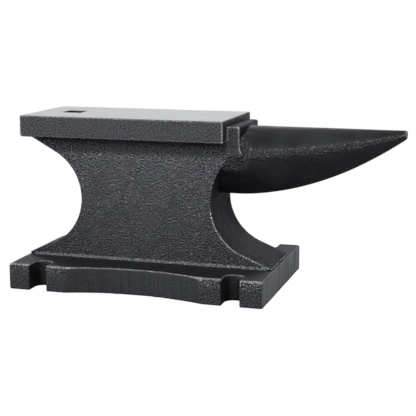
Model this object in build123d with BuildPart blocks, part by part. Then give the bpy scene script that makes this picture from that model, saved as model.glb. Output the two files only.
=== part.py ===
from build123d import *
from math import asin, atan2, cos, hypot, sin, sqrt
import os

# Single-horn anvil, built up from a base, a waist, a face slab, a cutting table and a horn, with
# the weld beads that join them as pieces of their own. Millimetres. The origin is the centre of the
# base's underside, +X points along the horn, +Z is up, and the anvil is symmetric about Y = 0.

# --- Driving dimensions -------------------------------------------------------------------------

# Base
base_length = 250.0
base_width = 160.0
base_thickness = 24.8
slot_width = 17.0
slot_depth = 21.0
slot_spacing_x = 190.0
slot_mouth_radius = 3.0
scallop_length = 135.0
scallop_depth = 11.5
base_corner_radius = 2.0
base_edge_radius = 1.2

# Waist
waist_width = 70.0
waist_edge_radius = 0.8
waist_toe_inset = 0.6
heel_toe_height = 1.5
horn_toe_height = 0.3
curve_height = 83.5
curve_radius = 50.0
heel_curve_x = -118.0
horn_curve_x = 113.2
horn_upper_curve_radius = 66.0

# Face slab
face_heel_x = -124.0
face_end_x = 79.0
face_width = 100.0
face_thickness = 20.4
overall_height = 163.7
face_edge_radius = 1.2
face_top_chamfer = 0.35

# Hardie hole, square
hardie_size = 19.0
hardie_x = -88.0

# Cutting table
table_front_x = 91.0
table_top = 158.0
table_flare = 4.0
table_flare_height = 14.0
table_edge_radius = 1.6

# Horn
horn_root_x = 84.0
horn_top = 155.5
horn_tip_x = 239.5
horn_root_depth = 66.0
horn_depth_vertex_x = 75.0
horn_depth_curvature = 0.00215
horn_width_ratio = 0.53
horn_crease_ratio = 0.39
horn_tip_crease_ratio = 0.5
keel_flank_ratio = 0.8
keel_flank_drop = 0.45
keel_nose_ratio = 0.25
horn_sections = 9
horn_tip_radius = 1.4

# Weld beads, by leg length or radius
base_bead = 3.0
table_bead = 2.2
horn_bead = 1.3
horn_bead_height = 88.0

# --- Derived sizes ------------------------------------------------------------------------------

base_half_length = base_length / 2
base_half_width = base_width / 2
waist_half_width = waist_width / 2
face_half_width = face_width / 2
face_bottom = overall_height - face_thickness
curve_throat_x = horn_curve_x - curve_radius
upper_curve_x = curve_throat_x + horn_upper_curve_radius


def tangent_point(corner, centre, radius, turn):
    """Where the line from corner touches the circle, on the side that turn (+1 or -1) picks."""
    along_x = centre[0] - corner[0]
    along_z = centre[1] - corner[1]
    distance = hypot(along_x, along_z)
    direction = atan2(along_z, along_x) + turn * asin(radius / distance)
    reach = sqrt(distance**2 - radius**2)
    return (corner[0] + reach * cos(direction), corner[1] + reach * sin(direction))


def upper_curve_point(x):
    """Point of the curve above the waist's throat at the horn end, at the given X."""
    rise = sqrt(horn_upper_curve_radius**2 - (upper_curve_x - x) ** 2)
    return (x, curve_height + rise)


def horn_depth(x):
    """Height of the horn from its keel to its level top line."""
    return horn_root_depth - horn_depth_curvature * (x - horn_depth_vertex_x) ** 2


def horn_crease(x):
    """Height of the horn's widest line, which nears mid-height towards the tip."""
    along = (x - horn_root_x) / (horn_tip_x - horn_root_x)
    ratio = horn_crease_ratio + (horn_tip_crease_ratio - horn_crease_ratio) * along**4
    return horn_top - ratio * horn_depth(x)


# --- Base: foot plate with U-shaped slots and scalloped long sides --------------------------------

with BuildPart() as base:
    with BuildSketch() as base_outline:
        Rectangle(base_length, base_width)
        with GridLocations(slot_spacing_x, base_width, 2, 2):
            SlotCenterToCenter(2 * slot_depth - slot_width, slot_width, rotation=90, mode=Mode.SUBTRACT)
        for side in (-1, 1):
            scallop_start = (-scallop_length / 2, side * base_half_width)
            scallop_middle = (0, side * (base_half_width - scallop_depth))
            scallop_end = (scallop_length / 2, side * base_half_width)
            with BuildLine():
                Line(scallop_start, scallop_end)
                ThreePointArc(scallop_start, scallop_middle, scallop_end)
            make_face(mode=Mode.SUBTRACT)
        outer_corners = base_outline.vertices().filter_by(lambda v: abs(v.X) > base_half_length - 1)
        mouth_corners = base_outline.vertices().filter_by(
            lambda v: abs(v.Y) > base_half_width - 1
            and abs(abs(v.X) - slot_spacing_x / 2) < slot_width / 2 + 1
        )
        fillet(outer_corners, base_corner_radius)
        fillet(mouth_corners, slot_mouth_radius)
    extrude(amount=base_thickness)
    fillet(base.faces().sort_by(Axis.Z)[-1].edges(), base_edge_radius)
base.part.label = "base"

# --- Waist: flat-sided body, cut by one C-shaped curve at each end --------------------------------

toe_x = base_half_length - waist_toe_inset
heel_centre = (heel_curve_x, curve_height)
horn_centre = (horn_curve_x, curve_height)
heel_toe = (-toe_x, base_thickness + heel_toe_height)
horn_toe = (toe_x, base_thickness + horn_toe_height)
heel_top = (face_heel_x + face_edge_radius, face_bottom)
heel_throat = (heel_curve_x + curve_radius, curve_height)
horn_throat = (curve_throat_x, curve_height)
heel_foot = tangent_point(heel_toe, heel_centre, curve_radius, -1)
heel_shoulder = tangent_point(heel_top, heel_centre, curve_radius, 1)
horn_foot = tangent_point(horn_toe, horn_centre, curve_radius, 1)
horn_shoulder = upper_curve_point(face_end_x)
upper_curve_middle = upper_curve_point(curve_throat_x + (face_end_x - curve_throat_x) / 4)

with BuildPart() as waist:
    with BuildSketch(Plane.XZ):
        with BuildLine():
            Line((-toe_x, base_thickness), heel_toe)
            Line(heel_toe, heel_foot)
            ThreePointArc(heel_foot, heel_throat, heel_shoulder)
            Line(heel_shoulder, heel_top)
            Line(heel_top, (face_end_x, face_bottom))
            Line((face_end_x, face_bottom), horn_shoulder)
            ThreePointArc(horn_shoulder, upper_curve_middle, horn_throat)
            RadiusArc(horn_throat, horn_foot, -curve_radius)
            Line(horn_foot, horn_toe)
            Line(horn_toe, (toe_x, base_thickness))
            Line((toe_x, base_thickness), (-toe_x, base_thickness))
        make_face()
    extrude(amount=waist_half_width, both=True)
    side_edges = waist.faces().filter_by(Axis.Y).edges()
    curve_edges = side_edges.filter_by(GeomType.CIRCLE)
    slope_edges = side_edges.filter_by(GeomType.LINE).filter_by(
        lambda e: abs(e.tangent_at(0).X) > 0.1 and abs(e.tangent_at(0).Z) > 0.1
    )
    fillet(curve_edges + slope_edges, waist_edge_radius)
    with BuildSketch(Plane.XY.offset(curve_height)):
        with Locations((hardie_x, 0)):
            Rectangle(hardie_size, hardie_size)
    extrude(amount=face_bottom - curve_height, mode=Mode.SUBTRACT)
waist.part.label = "waist"

# --- Face slab: ground working face, square hardie hole near the heel -----------------------------

with BuildPart() as face_plate:
    with BuildSketch(Plane.XY.offset(face_bottom)):
        with Locations(((face_heel_x + face_end_x) / 2, 0)):
            Rectangle(face_end_x - face_heel_x, face_width)
    extrude(amount=face_thickness)
    outer_uprights = face_plate.edges().filter_by(Axis.Z)
    underside_edges = face_plate.faces().sort_by(Axis.Z)[0].edges().filter_by(
        lambda e: e.center().X < face_end_x - 1
    )
    fillet(outer_uprights + underside_edges, face_edge_radius)
    with BuildSketch(Plane.XY.offset(face_bottom)):
        with Locations((hardie_x, 0)):
            Rectangle(hardie_size, hardie_size)
    extrude(amount=face_thickness, mode=Mode.SUBTRACT)
    chamfer(face_plate.faces().sort_by(Axis.Z)[-1].edges(), face_top_chamfer)
face_plate.part.label = "face_plate"

# --- Cutting table: step block whose front flares into the horn's widest line ---------------------

table_bottom = horn_crease(table_front_x)
flare_top = table_bottom + table_flare_height
flare_front_x = table_front_x + table_flare

with BuildPart() as cutting_table:
    with BuildSketch(Plane.XZ):
        with BuildLine():
            Line((face_end_x, table_bottom), (face_end_x, table_top))
            Line((face_end_x, table_top), (table_front_x, table_top))
            Line((table_front_x, table_top), (table_front_x, flare_top))
            TangentArc((table_front_x, flare_top), (flare_front_x, table_bottom), tangent=(0, -1))
            Line((flare_front_x, table_bottom), (face_end_x, table_bottom))
        make_face()
    extrude(amount=waist_half_width, both=True)
    front_edges = cutting_table.edges().filter_by(
        lambda e: e.center().X > table_front_x - 0.1 and e.center().Z > table_bottom + 1
    )
    fillet(front_edges, table_edge_radius)
cutting_table.part.label = "cutting_table"

# --- Horn: flattened round above its crease, keel-shaped below ------------------------------------

section_step = (horn_tip_x - horn_root_x) / (horn_sections - 1)

with BuildPart() as horn:
    for index in range(horn_sections):
        station_x = horn_root_x + index * section_step
        half_width = horn_width_ratio * horn_depth(station_x)
        crease_z = horn_crease(station_x)
        keel_z = horn_top - horn_depth(station_x)
        flank_y = keel_flank_ratio * half_width
        flank_z = crease_z - keel_flank_drop * (crease_z - keel_z)
        nose_y = keel_nose_ratio * half_width
        with BuildSketch(Plane.YZ.offset(station_x)):
            with BuildLine():
                EllipticalCenterArc((0, crease_z), half_width, horn_top - crease_z, arc_size=180)
                Bezier((-half_width, crease_z), (-flank_y, flank_z), (-nose_y, keel_z), (0, keel_z))
                Bezier((0, keel_z), (nose_y, keel_z), (flank_y, flank_z), (half_width, crease_z))
            make_face()
    loft()
    fillet(horn.faces().sort_by(Axis.X)[-1].edges(), horn_tip_radius)
    extrude(horn.faces().sort_by(Axis.X)[0], amount=horn_root_x - curve_throat_x)
    with BuildSketch(Plane.XY.offset(table_bottom)):
        with Locations((table_front_x - base_length / 2, 0)):
            Rectangle(base_length, base_width)
    extrude(amount=base_width, mode=Mode.SUBTRACT)
    add(cutting_table.part, mode=Mode.SUBTRACT)
    add(waist.part, mode=Mode.SUBTRACT)
horn.part.label = "horn"

# --- Weld beads -----------------------------------------------------------------------------------

bead_bulge = 0.62
base_bead_half_length = toe_x - 2 * base_bead

with BuildPart() as base_weld:
    with BuildSketch(Plane.YZ.offset(-base_bead_half_length)):
        for side in (-1, 1):
            root_y = side * waist_half_width
            toe_y = root_y + side * base_bead
            with BuildLine():
                Line((root_y, base_thickness), (toe_y, base_thickness))
                ThreePointArc(
                    (toe_y, base_thickness),
                    (root_y + side * bead_bulge * base_bead, base_thickness + bead_bulge * base_bead),
                    (root_y, base_thickness + base_bead),
                )
                Line((root_y, base_thickness + base_bead), (root_y, base_thickness))
            make_face()
    extrude(amount=2 * base_bead_half_length)
base_weld.part.label = "base_weld"

with BuildPart() as table_weld:
    with BuildSketch(Plane.XY.offset(face_bottom + face_edge_radius)):
        for side in (-1, 1):
            root_y = side * waist_half_width
            toe_y = root_y + side * table_bead
            with BuildLine():
                Line((face_end_x, root_y), (face_end_x, toe_y))
                ThreePointArc(
                    (face_end_x, toe_y),
                    (face_end_x + bead_bulge * table_bead, root_y + side * bead_bulge * table_bead),
                    (face_end_x + table_bead, root_y),
                )
                Line((face_end_x + table_bead, root_y), (face_end_x, root_y))
            make_face()
    extrude(amount=table_top - face_bottom - 2 * face_edge_radius)
table_weld.part.label = "table_weld"

bead_seat_x = upper_curve_x - sqrt(horn_upper_curve_radius**2 - (horn_bead_height - curve_height) ** 2)

with BuildPart() as horn_weld:
    with BuildSketch(Plane.XZ):
        with Locations((bead_seat_x, horn_bead_height)):
            Circle(horn_bead)
    extrude(amount=waist_half_width - 2 * waist_edge_radius, both=True)
    add(waist.part, mode=Mode.SUBTRACT)
    add(horn.part, mode=Mode.SUBTRACT)
horn_weld.part.label = "horn_weld"

# --- Write one STEP file per piece ----------------------------------------------------------------

os.makedirs("parts", exist_ok=True)
export_step(base.part, "parts/base.step")
export_step(waist.part, "parts/waist.step")
export_step(face_plate.part, "parts/face_plate.step")
export_step(cutting_table.part, "parts/cutting_table.step")
export_step(horn.part, "parts/horn.step")
export_step(base_weld.part, "parts/base_weld.step")
export_step(table_weld.part, "parts/table_weld.step")
export_step(horn_weld.part, "parts/horn_weld.step")
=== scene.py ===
import bmesh
import bpy
import math
import numpy as np
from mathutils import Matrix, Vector, noise


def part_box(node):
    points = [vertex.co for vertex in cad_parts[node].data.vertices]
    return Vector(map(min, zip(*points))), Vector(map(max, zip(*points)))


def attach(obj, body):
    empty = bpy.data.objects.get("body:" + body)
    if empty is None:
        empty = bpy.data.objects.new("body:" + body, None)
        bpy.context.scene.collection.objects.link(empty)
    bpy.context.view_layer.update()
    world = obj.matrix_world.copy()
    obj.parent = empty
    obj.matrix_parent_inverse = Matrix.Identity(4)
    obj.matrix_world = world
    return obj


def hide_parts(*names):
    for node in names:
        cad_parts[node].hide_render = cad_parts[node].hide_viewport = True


# Looks for a black cast anvil with a ground working face. Lengths are in metres. Every shown piece is
# an even, dense copy of its CAD node, with the casting's orange-peel skin pushed into the mesh.

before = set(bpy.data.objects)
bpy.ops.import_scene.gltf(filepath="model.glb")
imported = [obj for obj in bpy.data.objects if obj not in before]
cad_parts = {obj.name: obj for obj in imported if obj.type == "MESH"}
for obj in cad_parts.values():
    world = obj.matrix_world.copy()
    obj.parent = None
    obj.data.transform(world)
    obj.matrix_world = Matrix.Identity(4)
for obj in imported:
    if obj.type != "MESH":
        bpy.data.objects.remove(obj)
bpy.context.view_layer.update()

MM = 0.001

# --- Driving sizes --------------------------------------------------------------------------------

VOXEL = {
    "base": 1.05 * MM,
    "waist": 1.02 * MM,
    "face_plate": 0.76 * MM,
    "horn": 0.75 * MM,
    "base_weld": 0.42 * MM,
    "table_weld": 0.36 * MM,
    "horn_weld": 0.30 * MM,
}

GRAIN_CELL = 2.1 * MM  # width of the orange peel's bumps on the waist, the table and the base
FINE_CELL = 1.5 * MM  # the same on the face plate and the horn
GRAIN_HEIGHT = 0.20 * MM
WAVE_CELL = 22 * MM  # width of the surface's slow waves
WAVE_HEIGHT = 0.12 * MM
LUMP_CELL = 3.2 * MM  # width of a weld bead's lumps
RIPPLE_CELL = 1.3 * MM  # width of the ripples between them
WELD_LUMP = 0.30 * MM  # height of the lumps on the base's and the table's beads
ROOT_LUMP = 0.15 * MM  # the same on the bead under the horn
TABLE_LAP = 1.5 * MM  # how far the table reaches into the waist before the two are cut apart
ROOT_INSET = 0.35 * MM  # how far inside the waist's sides the horn's root ends
ROOT_TUCK = 2.5 * MM  # how far the root's hidden faces reach into the waist and the table
GRAIN_SEED, WAVE_SEED, LUMP_SEED, RIPPLE_SEED = 17.3, 5.1, 9.7, 3.3

base_low, base_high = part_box("base")
waist_low, waist_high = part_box("waist")
face_low, face_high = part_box("face_plate")
table_low, table_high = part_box("cutting_table")


# --- Mesh tools -----------------------------------------------------------------------------------


def new_piece(name, mesh):
    """An object for the mesh, in the scene."""
    piece = bpy.data.objects.new(name, mesh)
    bpy.context.scene.collection.objects.link(piece)
    return piece


def cad_mesh(node):
    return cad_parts[node].data


def voxel_mesh(name, sources, voxel):
    """One closed, even quad mesh around all the source meshes."""
    shell = bmesh.new()
    for source in sources:
        shell.from_mesh(source)
    mesh = bpy.data.meshes.new(name + "_shell")
    shell.to_mesh(mesh)
    shell.free()
    helper = new_piece(name + "_shell", mesh)
    remesh = helper.modifiers.new("voxels", "REMESH")
    remesh.mode = "VOXEL"
    remesh.voxel_size = voxel
    graph = bpy.context.evaluated_depsgraph_get()
    result = bpy.data.meshes.new_from_object(helper.evaluated_get(graph))
    bpy.data.objects.remove(helper)
    bpy.data.meshes.remove(mesh)
    result.name = name
    return result


def read_points(mesh):
    points = np.empty(len(mesh.vertices) * 3)
    mesh.vertices.foreach_get("co", points)
    return points.reshape(-1, 3)


def write_points(mesh, points):
    mesh.vertices.foreach_set("co", points.astype(np.float32).ravel())
    mesh.update()


def read_normals(mesh):
    normals = np.empty(len(mesh.vertices) * 3)
    mesh.vertex_normals.foreach_get("vector", normals)
    return normals.reshape(-1, 3)


def read_edges(mesh):
    edges = np.empty(len(mesh.edges) * 2, np.int32)
    mesh.edges.foreach_get("vertices", edges)
    return edges.reshape(-1, 2)


def set_attribute(mesh, name, values):
    """A float for every vertex, which the materials read by name."""
    attribute = mesh.attributes.new(name, "FLOAT", "POINT")
    attribute.data.foreach_set("value", values.astype(np.float32))


def neighbour_mean(points, edges):
    """Each point's average neighbour along the mesh's edges."""
    starts = np.concatenate([edges[:, 0], edges[:, 1]])
    ends = np.concatenate([edges[:, 1], edges[:, 0]])
    count = np.bincount(starts, minlength=len(points))
    mean = [np.bincount(starts, points[ends, axis], len(points)) / count for axis in range(3)]
    return np.stack(mean, axis=1)


def relax(mesh, rounds):
    """Evens out the voxel steps and softens edges a little."""
    edges = read_edges(mesh)
    points = read_points(mesh)
    for _ in range(rounds):
        points += 0.5 * (neighbour_mean(points, edges) - points)
    write_points(mesh, points)


def step(low, high, values):
    """0 below low, 1 above high, smooth between."""
    t = np.clip((values - low) / (high - low), 0, 1)
    return t * t * (3 - 2 * t)


def value_noise(points, cell, seed):
    """Smooth noise from -1 to 1 with bumps about one cell wide."""
    scaled = points / cell + seed
    return np.array([noise.noise(p) for p in scaled.tolist()])


def convexity(mesh, voxel):
    """How far each vertex stands out of its neighbours, in voxels: about 0 on flats, more on edges."""
    points = read_points(mesh)
    offset = points - neighbour_mean(points, read_edges(mesh))
    return (offset * read_normals(mesh)).sum(axis=1) / voxel


def cast_skin(mesh, voxel, grain, worn, cell=GRAIN_CELL):
    """Gives the mesh its edge and grain attributes, then moves it along its normals by the skin."""
    edges = read_edges(mesh)
    edge = convexity(mesh, voxel)[:, None]
    edge = (edge + 2 * neighbour_mean(edge.repeat(3, axis=1), edges)[:, :1]) / 3
    set_attribute(mesh, "edge", edge[:, 0] * worn)
    set_attribute(mesh, "grain", grain)
    points = read_points(mesh)
    peel = grain * GRAIN_HEIGHT * value_noise(points, cell, GRAIN_SEED)
    wave = WAVE_HEIGHT * value_noise(points, WAVE_CELL, WAVE_SEED)
    write_points(mesh, points + (peel + wave)[:, None] * read_normals(mesh))


def keep_side(mesh, name, plane_x, floor_z, front):
    """A closed copy of the part past plane_x and above floor_z, if front, or of all the rest."""
    work = bmesh.new()
    work.from_mesh(mesh)
    geometry = work.verts[:] + work.edges[:] + work.faces[:]
    bmesh.ops.bisect_plane(work, geom=geometry, plane_co=(plane_x, 0, 0), plane_no=(1, 0, 0))
    gone = []
    for face in work.faces:
        centre = face.calc_center_median()
        in_front = centre.x > plane_x and centre.z > floor_z
        if in_front != front:
            gone.append(face)
    bmesh.ops.delete(work, geom=gone, context="FACES")
    rim = [edge for edge in work.edges if edge.is_boundary]
    bmesh.ops.holes_fill(work, edges=rim, sides=0)
    result = bpy.data.meshes.new(name)
    work.to_mesh(result)
    work.free()
    return result


def finish_piece(name, mesh, material):
    """The mesh as a shown piece that stands for the CAD node of the same name."""
    for polygon in mesh.polygons:
        polygon.use_smooth = True
    mesh.materials.clear()
    mesh.materials.append(material)
    piece = new_piece(name + "_skin", mesh)
    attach(piece, "root")
    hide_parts(name)
    return piece


# --- Material tools -------------------------------------------------------------------------------

WHITE = (1.0, 1.0, 1.0, 1.0)
GREEN_SHARE = 0.15  # how much of a grey's extra blue goes into its green


class Nodes:
    """A short way to write a node tree."""

    def __init__(self, owner):
        self.tree = owner.node_tree
        self.tree.nodes.clear()

    def add(self, kind, **inputs):
        """A node with settings and inputs by name; an input's spaces are written as underscores."""
        node = self.tree.nodes.new(kind)
        for key, value in inputs.items():
            if hasattr(node, key):
                setattr(node, key, value)
            else:
                self.plug(node.inputs[key.replace("_", " ")], value)
        return node

    def plug(self, socket, value):
        """Links the socket to an output, or sets it to a plain value."""
        if isinstance(value, bpy.types.NodeSocket):
            self.tree.links.new(value, socket)
        else:
            socket.default_value = value

    def math(self, operation, *values):
        node = self.add("ShaderNodeMath", operation=operation)
        for socket, value in zip(node.inputs, values):
            self.plug(socket, value)
        return node.outputs[0]

    def remap(self, value, low, high, to_low=0.0, to_high=1.0):
        node = self.add("ShaderNodeMapRange", interpolation_type="SMOOTHSTEP")
        self.plug(node.inputs["Value"], value)
        self.plug(node.inputs["From Min"], low)
        self.plug(node.inputs["From Max"], high)
        self.plug(node.inputs["To Min"], to_low)
        self.plug(node.inputs["To Max"], to_high)
        return node.outputs["Result"]

    def mix(self, factor, a, b):
        """A colour between a and b. The node's colour sockets are inputs 6 and 7 and output 2."""
        node = self.add("ShaderNodeMix", data_type="RGBA")
        self.plug(node.inputs[0], factor)
        self.plug(node.inputs[6], a)
        self.plug(node.inputs[7], b)
        return node.outputs[2]

    def blend(self, factor, a, b):
        """A shader between a and b."""
        node = self.add("ShaderNodeMixShader")
        for socket, value in zip(node.inputs, (factor, a.outputs[0], b.outputs[0])):
            self.plug(socket, value)
        return node

    def noise(self, vector, scale, detail, roughness=0.5):
        node = self.add("ShaderNodeTexNoise")
        self.plug(node.inputs["Vector"], vector)
        self.plug(node.inputs["Scale"], scale)
        self.plug(node.inputs["Detail"], detail)
        self.plug(node.inputs["Roughness"], roughness)
        return node.outputs["Fac"]

    def stretch(self, vector, scale):
        node = self.add("ShaderNodeVectorMath", operation="MULTIPLY")
        self.plug(node.inputs[0], vector)
        self.plug(node.inputs[1], scale)
        return node.outputs[0]

    def attribute(self, name):
        return self.add("ShaderNodeAttribute", attribute_name=name).outputs["Fac"]

    def place(self):
        return self.add("ShaderNodeTexCoord").outputs["Object"]

    def camera_sees(self):
        """1 for what the camera sees directly, 0 for light on its way round the scene."""
        return self.add("ShaderNodeLightPath").outputs["Is Camera Ray"]

    def bump(self, height, distance, strength):
        node = self.add("ShaderNodeBump")
        self.plug(node.inputs["Distance"], distance)
        self.plug(node.inputs["Strength"], strength)
        self.plug(node.inputs["Height"], height)
        return node.outputs["Normal"]

    def output(self, shader, kind="ShaderNodeOutputMaterial"):
        self.plug(self.add(kind).inputs["Surface"], shader.outputs[0])


def new_material(name):
    material = bpy.data.materials.new(name)
    material.use_nodes = True
    return material, Nodes(material)


def grey(level, blue=1.0):
    """A neutral colour of the given linear level, slightly blue where blue is above 1."""
    return (level, level * (1 + (blue - 1) * GREEN_SHARE), level * blue, 1.0)


# --- Paint and steel ------------------------------------------------------------------------------

# Noise scales, in bumps per metre.
CRUMB_SCALE = 660
SPECK_SCALE = 900
CHIP_SCALE = 760
PATCH_SCALE = 45
MOTTLE_SCALE = 170
STREAK_SCALE = 260
MARK_SCALE = 60
CLOUD_SCALE = 18
RAGGED_SCALE = 320

CRUMB_DEPTH = 4.6 * MM
MARK_DEPTH = 0.02 * MM
RAGGED_DEPTH = 0.6 * MM
RUBBED_COLOUR = grey(0.47, 1.1)
WORN_COLOUR = grey(0.60, 1.05)


def varied_grey(nodes, value, level, blue):
    """A grey that goes from 60 to 140 % of the level with a noise value."""
    return nodes.mix(nodes.remap(value, 0.3, 0.7), grey(level * 0.6, blue), grey(level * 1.4, blue))


def worn_edges(nodes, place, worn):
    """How far the paint is worn off: a broken line where the edge attribute is high."""
    line = nodes.remap(nodes.attribute("edge"), 0.025, 0.09)
    broken = nodes.remap(nodes.noise(place, SPECK_SCALE, 2.0, 0.6), 0.36, 0.60)
    return nodes.math("MULTIPLY", nodes.math("MULTIPLY", line, broken), worn)


def paint_chips(nodes, place):
    """Small scattered chips in the paint, where the chipped attribute is high."""
    chips = nodes.remap(nodes.noise(place, CHIP_SCALE, 1.0), 0.58, 0.66)
    return nodes.math("MULTIPLY", nodes.attribute("chipped"), chips)


def rubbed_streaks(nodes, place):
    """How far the surface is rubbed grey: upright streaks where the rubbed attribute is high."""
    streaks = nodes.noise(nodes.stretch(place, (1.0, 1.0, 0.06)), STREAK_SCALE, 3.0, 0.6)
    return nodes.math("MULTIPLY", nodes.attribute("rubbed"), nodes.remap(streaks, 0.32, 0.68, 0.5, 1.0))


def dulled_gloss(nodes, place, gloss):
    """The paint's gloss, mostly lost, in a faint mottle, where the dull attribute is high."""
    mottle = nodes.remap(nodes.noise(place, MOTTLE_SCALE, 2.0, 0.6), 0.3, 0.7, 0.68, 0.82)
    dull = nodes.math("MULTIPLY", nodes.attribute("dull"), mottle)
    return nodes.remap(dull, 0.0, 1.0, gloss, 0.0)


def paint_shader(nodes, place, depth=1.0, level=0.008, grainy=4.6, shine=0.42, gloss=0.5, worn=0.9):
    """Black casting paint. The level is its grey where it is smooth, and the grain factor is how many times
    lighter it is where the grain attribute is 1: partly a lighter textured paint, partly painted light
    for the light that the grain's bumps catch. A lower shine is a sharper reflection."""
    grain = nodes.attribute("grain")
    crumbs = nodes.noise(place, CRUMB_SCALE, 0.0)
    patches = nodes.noise(place, PATCH_SCALE, 3.0)
    wear = worn_edges(nodes, place, worn)
    smooth_colour = varied_grey(nodes, patches, level, 1.2)
    # Where the grain is, the paint is partly lighter textured paint and partly painted light; bumps are
    # painted lighter and pits darker as painted light and shade.
    grain_tone_and_sheen_colour = varied_grey(nodes, crumbs, level * grainy, 1.15)
    colour = nodes.mix(grain, smooth_colour, grain_tone_and_sheen_colour)
    colour = nodes.mix(rubbed_streaks(nodes, place), colour, RUBBED_COLOUR)
    colour = nodes.mix(wear, colour, WORN_COLOUR)
    colour = nodes.mix(paint_chips(nodes, place), colour, WORN_COLOUR)
    rough = nodes.remap(patches, 0.3, 0.7, shine + 0.04, shine + 0.16)
    rough = nodes.math("SUBTRACT", rough, nodes.math("MULTIPLY", grain, 0.18))
    strength = nodes.remap(grain, 0.0, 1.0, 0.06, 1.0)
    return nodes.add(
        "ShaderNodeBsdfPrincipled",
        Base_Color=colour,
        Roughness=rough,
        Specular_IOR_Level=dulled_gloss(nodes, place, gloss),
        Metallic=nodes.math("MULTIPLY", wear, 0.3),
        Normal=nodes.bump(crumbs, CRUMB_DEPTH * depth, strength),
    )


def steel_shader(nodes, place):
    """Ground steel with faint marks along X and a slightly cloudy tone."""
    marks = nodes.noise(nodes.stretch(place, (1.0, 30.0, 1.0)), MARK_SCALE, 4.0, 0.65)
    clouds = nodes.noise(place, CLOUD_SCALE, 2.0)
    tone = nodes.math("ADD", nodes.math("MULTIPLY", marks, 0.16), nodes.math("MULTIPLY", clouds, 0.12))
    return nodes.add(
        "ShaderNodeBsdfPrincipled",
        Base_Color=nodes.mix(tone, grey(0.70), grey(0.95)),
        Metallic=1.0,
        Roughness=nodes.remap(marks, 0.3, 0.7, 0.30, 0.42),
        Normal=nodes.bump(marks, MARK_DEPTH, 0.6),
    )


def paint_material(name, **settings):
    material, nodes = new_material(name)
    nodes.output(paint_shader(nodes, nodes.place(), **settings))
    return material


def ground_material(name, top_z):
    """Steel on the working face and paint on the sides, with a ragged paint line under the top edge."""
    material, nodes = new_material(name)
    place = nodes.place()
    paint = paint_shader(nodes, place, depth=0.85, grainy=8.6)
    height = nodes.add("ShaderNodeSeparateXYZ", Vector=place).outputs["Z"]
    line = nodes.math("MULTIPLY_ADD", nodes.noise(place, RAGGED_SCALE, 2.0), -RAGGED_DEPTH, top_z)
    bare = nodes.math("GREATER_THAN", height, line)
    nodes.output(nodes.blend(bare, paint, steel_shader(nodes, place)))
    return material


cast_paint = paint_material("cast_paint")
base_paint = paint_material("base_paint", level=0.009, grainy=8.0, gloss=0.40, worn=1.4)
horn_paint = paint_material("horn_paint", level=0.010, grainy=1.8, shine=0.29, worn=0.5)
# A light grey paint for the beads: a painted highlight along the welds, where the light catches their
# rounded tops.
bead_highlight_paint = paint_material("bead_highlight_paint", level=0.09, grainy=1.0, worn=0.5)
root_paint = paint_material("root_paint", level=0.006, grainy=1.0, worn=0.0)
ground_face = ground_material("ground_face", face_high.z)

# --- Pieces ---------------------------------------------------------------------------------------


def make_base():
    """The base, grainiest on its feet, chipped near their tops and rubbed to streaky grey at its ends."""
    mesh = voxel_mesh("base", [cad_mesh("base")], VOXEL["base"])
    relax(mesh, 2)
    points, normals = read_points(mesh), read_normals(mesh)
    x, y, z = points[:, 0], abs(points[:, 1]), points[:, 2]
    on_feet = step(base_high.y - 0.8 * MM, base_high.y - 0.2 * MM, y)
    near_feet = step(base_high.y - 4 * MM, base_high.y - 1 * MM, y)
    on_end = step(0.7, 0.95, abs(normals[:, 0])) * (abs(x) > base_high.x - 1 * MM)
    on_side = step(0.6, 0.95, abs(normals[:, 1]))
    set_attribute(mesh, "rubbed", np.maximum(on_end, 0.06 * on_side))
    near_top = step(base_high.z - 13 * MM, base_high.z - 1 * MM, z)
    set_attribute(mesh, "chipped", (0.6 + 0.4 * (x > 0)) * on_feet * on_side * near_top)
    # The paint is lighter with the grain, partly as painted light, so the feet's sides, most of all at the
    # horn's end, are painted lighter than the rest of the base.
    foot_grain = 0.28 + 0.22 * (x > 0)
    grain = 0.12 + (0.12 + foot_grain * on_feet) * on_side
    worn = step(0.15, 0.5, normals[:, 2]) * (0.7 + 3.0 * near_feet)
    cast_skin(mesh, VOXEL["base"], grain, worn)
    finish_piece("base", mesh, base_paint)


def lapped_table():
    """A copy of the table that reaches into the waist, so that one skin can go over both."""
    table = cad_mesh("cutting_table").copy()
    points = read_points(table)
    points[points[:, 0] < table_low.x + 0.1 * MM, 0] -= TABLE_LAP
    write_points(table, points)
    return table


def make_waist_and_table():
    """The two share one skin, because they are flush where they meet, and are then cut apart."""
    table = lapped_table()
    mesh = voxel_mesh("waist_and_table", [cad_mesh("waist"), table], VOXEL["waist"])
    bpy.data.meshes.remove(table)
    relax(mesh, 2)
    cut_x, cut_z = table_low.x, (waist_low.z + waist_high.z) / 2
    points, normals = read_points(mesh), read_normals(mesh)
    x, y, z = points[:, 0], abs(points[:, 1]), points[:, 2]
    facing_side = abs(normals[:, 1])
    on_foot = (x > 0) * (1 - step(cut_z - 10 * MM, cut_z + 5 * MM, z))
    on_table = (x > cut_x) * step(table_low.z + 1 * MM, table_low.z + 4 * MM, z)
    near_side = step(waist_high.y - 5 * MM, waist_high.y - 2 * MM, y)
    near_top = step(table_high.z - 3 * MM, table_high.z - 1 * MM, z)
    # The grain is strongest on the sides. The paint is lighter with the grain, partly as painted light, so
    # this also paints the arcs, the ends and the table darker: painted shade.
    grain = (0.32 + 0.68 * step(0.5, 0.95, facing_side)) * (1 - 0.7 * on_table)
    set_attribute(mesh, "dull", (1 - step(0.2, 0.6, facing_side)) * (1 - on_table))
    table_worn = 0.8 * on_table * near_side * (1 - 0.5 * near_top)
    cast_skin(mesh, VOXEL["waist"], grain, np.maximum(0.7 * on_foot, table_worn))
    waist_mesh = keep_side(mesh, "waist", cut_x, cut_z, False)
    table_mesh = keep_side(mesh, "table", cut_x, cut_z, True)
    bpy.data.meshes.remove(mesh)
    waist = finish_piece("waist", waist_mesh, cast_paint)
    cutting_table = finish_piece("cutting_table", table_mesh, cast_paint)
    return waist, cutting_table


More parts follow.
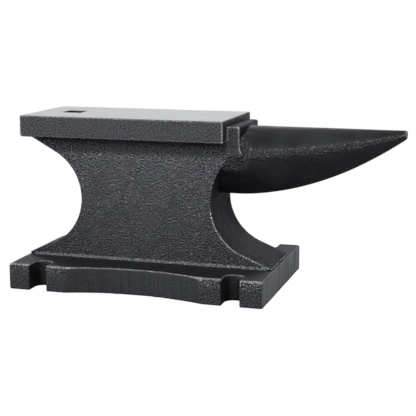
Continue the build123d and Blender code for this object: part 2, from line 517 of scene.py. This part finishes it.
def make_face_plate():
    """The slab's outer sides are painted over the grain; its top and the square hole are even."""
    middle_x = (face_low.x + face_high.x) / 2
    mesh = voxel_mesh("face_plate", [cad_mesh("face_plate")], VOXEL["face_plate"])
    relax(mesh, 1)
    points, normals = read_points(mesh), read_normals(mesh)
    side = 1 - step(0.3, 0.8, abs(normals[:, 2]))
    broad = step(0.3, 0.8, abs(normals[:, 1]))
    on_top = step(face_high.z - 0.6 * MM, face_high.z - 0.2 * MM, points[:, 2])
    near_side = abs(points[:, 1]) > face_high.y - 2 * MM
    near_end = abs(points[:, 0] - middle_x) > face_high.x - middle_x - 2 * MM
    outside = near_side | near_end
    # The grain is on the long sides more than on the ends; the paint is lighter with it, partly as painted
    # light, so the slab's ends are painted darker: painted shade.
    grain = (0.12 + 0.38 * broad) * (1 - on_top) * outside
    cast_skin(mesh, VOXEL["face_plate"], grain, 0.7 * side * outside, FINE_CELL)
    finish_piece("face_plate", mesh, ground_face)


def blend_horn_root(points):
    """Under the table the horn's flanks run flush into the waist's sides, and the root tucks into both."""
    x, y, z = points.T
    crease_z, front_x = table_low.z, table_high.x
    near_root = 1 - step(front_x - 8 * MM, front_x + 10 * MM, x)
    near_crease = step(crease_z - 22 * MM, crease_z - 7 * MM, z)
    on_flank = step(0.5, 0.7, abs(y) / waist_high.y)
    weight = near_root * near_crease * on_flank
    flush_y = np.sign(y) * (waist_high.y - ROOT_INSET)
    points[:, 1] = y + weight * (flush_y - y)
    points[:, 0] = x - ROOT_TUCK * (1 - step(table_low.x, table_low.x + 8 * MM, x))
    under_table = step(crease_z - 0.8 * MM, crease_z - 0.3 * MM, z) * (x < front_x - 1 * MM)
    points[:, 2] = z + ROOT_TUCK * under_table * (z < crease_z + 0.3 * MM)


def horn_grain(points, normals):
    """A band of grain along each flank, and grain like the waist's on the root below the table; where the
    grain is, the paint is lighter, partly as painted light.
    """
    x, z = points[:, 0], points[:, 2]
    facing_up = normals[:, 2]
    band = step(-1.0, -0.1, facing_up) * (1 - step(0.1, 0.65, facing_up))
    band = band * (1 - step(0.5, 0.9, normals[:, 0]))
    root = 1 - step(table_high.x - 4 * MM, table_high.x + 8 * MM, x)
    root = root * step(table_low.z - 22 * MM, table_low.z - 6 * MM, z)
    root = root * (1 - step(table_low.z, table_low.z + 3 * MM, z))
    return 0.06 + np.maximum(0.45 * band, 0.8 * root)


def make_horn():
    """The horn, worn along its edges from a little in front of the table."""
    mesh = voxel_mesh("horn", [cad_mesh("horn")], VOXEL["horn"])
    relax(mesh, 3)
    points = read_points(mesh)
    blend_horn_root(points)
    write_points(mesh, points)
    relax(mesh, 1)
    points, normals = read_points(mesh), read_normals(mesh)
    worn = step(table_high.x + 6 * MM, table_high.x + 20 * MM, points[:, 0])
    cast_skin(mesh, VOXEL["horn"], horn_grain(points, normals), worn, FINE_CELL)
    return finish_piece("horn", mesh, horn_paint)


def make_bead(node, height, paint):
    """A weld bead, with lumps along it and finer ripples between them."""
    mesh = voxel_mesh(node, [cad_mesh(node)], VOXEL[node])
    relax(mesh, 2)
    points = read_points(mesh)
    # Every point counts as an edge, so a paint with edge scuffing lightens the whole bead, which adds to
    # its painted highlight.
    set_attribute(mesh, "edge", np.full(len(points), 0.2))
    set_attribute(mesh, "grain", np.ones(len(points)))
    lumps = value_noise(points, LUMP_CELL, LUMP_SEED)
    ripples = value_noise(points, RIPPLE_CELL, RIPPLE_SEED)
    write_points(mesh, points + (height * (lumps + 0.6 * ripples))[:, None] * read_normals(mesh))
    finish_piece(node, mesh, paint)


make_base()
waist_skin, table_skin = make_waist_and_table()
make_face_plate()
horn_skin = make_horn()
make_bead("base_weld", WELD_LUMP, bead_highlight_paint)
make_bead("table_weld", WELD_LUMP, bead_highlight_paint)
make_bead("horn_weld", ROOT_LUMP, root_paint)

# --- Floor, light and camera ----------------------------------------------------------------------

FLOOR_REACH = 30.0
ROOM_LEVEL = 0.10
CEILING_LEVEL = 0.28
FRONT_WALL_LEVEL = 0.8
BACK_WALL_LEVEL = 1.0
BACK_WALL_TOWARD = (-0.34, 0.94, 0.0)
LIGHT_COLOUR = (0.965, 0.975, 1.0, 1.0)
LIGHT_RADIUS = 0.22
LIGHT_DISTANCE = 1.1
LIGHT_CENTRE = Vector((0.0, 0.0, 0.1))
LIGHT_CONE = 26
AIM_X, AIM_Z, HIGH_AIM_Z = 0.02, 0.30, 0.41
CAMERA_PLACE = (0.3440, -0.9682, 0.2655)
CAMERA_TURN = 16.88
CAMERA_DOWN = 10.73
CAMERA_LENS = 91.72


def floor_material():
    """The camera sees plain white. The object sees a grey floor with painted shade, darker near it, and a
    painted glow further out.
    """
    material, nodes = new_material("floor_white")
    length = nodes.add("ShaderNodeVectorMath", operation="LENGTH")
    nodes.plug(length.inputs[0], nodes.place())
    radius = length.outputs["Value"]
    # Painted shade: the floor's grey is darker near the object.
    colour = nodes.mix(nodes.remap(radius, 0.15, 0.80), grey(0.24), grey(0.50))
    diffuse = nodes.add("ShaderNodeBsdfDiffuse", Color=colour)
    # Painted light: the floor glows further out, though it is no lamp.
    glow = nodes.add("ShaderNodeEmission", Color=WHITE, Strength=nodes.remap(radius, 0.35, 1.2, 0.0, 0.5))
    lit = nodes.add("ShaderNodeAddShader")
    nodes.plug(lit.inputs[0], diffuse.outputs[0])
    nodes.plug(lit.inputs[1], glow.outputs[0])
    plain = nodes.add("ShaderNodeEmission", Color=WHITE, Strength=1.0)
    nodes.output(nodes.blend(nodes.camera_sees(), lit, plain))
    return material


def make_floor():
    """A wide floor level with the underside of the base."""
    mesh = bpy.data.meshes.new("floor")
    corners = [(-1, -1), (1, -1), (1, 1), (-1, 1)]
    mesh.from_pydata([(FLOOR_REACH * x, FLOOR_REACH * y, 0) for x, y in corners], [], [(0, 1, 2, 3)])
    mesh.materials.append(floor_material())
    floor = new_piece("floor", mesh)
    floor.location.z = base_low.z


def room_light(nodes):
    """How bright the room is: a broad wall in front, a smaller one at the back left, and the ceiling."""
    direction = nodes.add("ShaderNodeTexCoord").outputs["Generated"]
    split = nodes.add("ShaderNodeSeparateXYZ", Vector=direction)
    height = split.outputs["Z"]
    front = nodes.remap(split.outputs["Y"], -0.75, 0.0, FRONT_WALL_LEVEL, 0.0)
    front = nodes.math("MULTIPLY", front, nodes.remap(height, 0.36, 0.70, 1.0, 0.0))
    ceiling = nodes.remap(height, 0.35, 0.85, 0.0, CEILING_LEVEL)
    toward = nodes.add("ShaderNodeVectorMath", operation="DOT_PRODUCT")
    nodes.plug(toward.inputs[0], direction)
    nodes.plug(toward.inputs[1], BACK_WALL_TOWARD)
    back = nodes.remap(toward.outputs["Value"], 0.84, 0.97, 0.0, BACK_WALL_LEVEL)
    level = nodes.math("ADD", front, ROOM_LEVEL)
    level = nodes.math("ADD", level, ceiling)
    return nodes.math("ADD", level, back)


def make_studio():
    """A dim room around the object, and plain white where the camera looks past it."""
    world = bpy.data.worlds.new("studio")
    bpy.context.scene.world = world
    world.use_nodes = True
    nodes = Nodes(world)
    seen = nodes.camera_sees()
    tint = nodes.mix(seen, LIGHT_COLOUR, WHITE)
    strength = nodes.remap(seen, 0.0, 1.0, room_light(nodes), 1.0)
    background = nodes.add("ShaderNodeBackground", Color=tint, Strength=strength)
    nodes.output(background, "ShaderNodeOutputWorld")


def direction_of(azimuth, elevation):
    """Unit vector from the object: azimuth 0 is the front (-Y), positive turns towards +X."""
    a, e = math.radians(azimuth), math.radians(elevation)
    return Vector((math.sin(a) * math.cos(e), -math.cos(a) * math.cos(e), math.sin(e)))


def make_soft_light(name, azimuth, elevation, energy, only=None, aim_z=AIM_Z):
    """A soft spot aimed above the anvil, so that its light fades down the sides. One with a piece of
    its own lights nothing else and shows in that piece's gloss; the others show in no gloss."""
    data = bpy.data.lights.new(name, "SPOT")
    data.shadow_soft_size = LIGHT_RADIUS
    data.spot_size = math.radians(LIGHT_CONE)
    data.spot_blend = 1.0
    data.energy = energy
    data.color = LIGHT_COLOUR[:3]
    light = bpy.data.objects.new(name, data)
    bpy.context.scene.collection.objects.link(light)
    light.visible_glossy = only is not None
    if only:
        receivers = bpy.data.collections.new(name + "_receivers")
        receivers.objects.link(only)
        light.light_linking.receiver_collection = receivers
    light.location = LIGHT_CENTRE + LIGHT_DISTANCE * direction_of(azimuth, elevation)
    aim = Vector((AIM_X, 0.0, aim_z)) - light.location
    light.rotation_euler = aim.to_track_quat("-Z", "Y").to_euler()


def make_camera():
    """A long lens, standing a little to the horn's side of the front and looking slightly down."""
    data = bpy.data.cameras.new("camera")
    data.sensor_width = 36.0
    data.lens = CAMERA_LENS
    data.clip_start, data.clip_end = 0.05, 100.0
    camera = bpy.data.objects.new("camera", data)
    bpy.context.scene.collection.objects.link(camera)
    camera.location = CAMERA_PLACE
    camera.rotation_euler = (math.radians(90 - CAMERA_DOWN), 0.0, math.radians(CAMERA_TURN))
    bpy.context.scene.camera = camera


make_floor()
make_studio()
make_soft_light("left_light", azimuth=-60, elevation=20, energy=245.0)
make_soft_light("right_light", azimuth=50, elevation=30, energy=50.0)
make_soft_light("horn_sparkle", azimuth=34, elevation=20, energy=60.0, only=horn_skin)
make_soft_light("side_sparkle", azimuth=8, elevation=53, energy=480.0, only=waist_skin, aim_z=HIGH_AIM_Z)
make_soft_light("step_sparkle", azimuth=8, elevation=50, energy=120.0, only=table_skin)
make_soft_light("back_light", azimuth=205, elevation=35, energy=60.0)
make_camera()
bpy.context.scene.view_settings.view_transform = "Standard"
